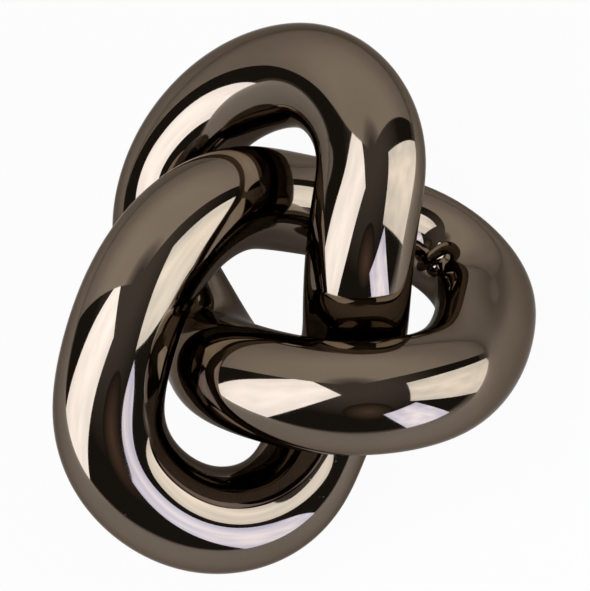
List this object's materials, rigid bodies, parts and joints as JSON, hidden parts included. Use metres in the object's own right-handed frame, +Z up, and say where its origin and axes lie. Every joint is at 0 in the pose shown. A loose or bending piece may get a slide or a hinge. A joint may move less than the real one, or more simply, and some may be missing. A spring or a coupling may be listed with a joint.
{
  "type": "knot sculpture",
  "caption": "Tabletop sculpture of a thick mirror-polished metal tube led over and under itself in a closed three-lobed knot, lying flat on hidden rubber feet.",
  "frame": {"origin": "centre of the footprint, on the surface that the sculpture lies on", "axes": "+Z up, +Y away from the viewer along the longest side, +X to the viewer's right"},
  "size_m": [0.1956, 0.2182, 0.1271],
  "materials": {
    "polished_tube": "mirror-polished, plated in dark warm-grey nickel",
    "ground_weld": "ground flush and plated with the tube",
    "sleeve_steel": "plain turned steel, out of sight",
    "foot_rubber": "matt moulded black rubber"
  },
  "bodies": {
    "root": {"far_lobe_bend": "polished_tube", "left_under_bend": "polished_tube", "front_over_bend": "polished_tube", "right_lobe_bend": "polished_tube", "back_under_bend": "polished_tube", "left_over_bend": "polished_tube", "near_lobe_bend": "polished_tube", "front_under_bend": "polished_tube", "back_over_bend": "polished_tube", "far_lobe_sleeve": "sleeve_steel", "left_under_sleeve": "sleeve_steel", "front_over_sleeve": "sleeve_steel", "right_lobe_sleeve": "sleeve_steel", "back_under_sleeve": "sleeve_steel", "left_over_sleeve": "sleeve_steel", "near_lobe_sleeve": "sleeve_steel", "front_under_sleeve": "sleeve_steel", "back_over_sleeve": "sleeve_steel", "far_lobe_weld": "ground_weld", "left_under_weld": "ground_weld", "front_over_weld": "ground_weld", "right_lobe_weld": "ground_weld", "back_under_weld": "ground_weld", "left_over_weld": "ground_weld", "near_lobe_weld": "ground_weld", "front_under_weld": "ground_weld", "back_over_weld": "ground_weld", "foot_1": "foot_rubber", "foot_2": "foot_rubber", "foot_3": "foot_rubber"}
  },
  "joints": []
}
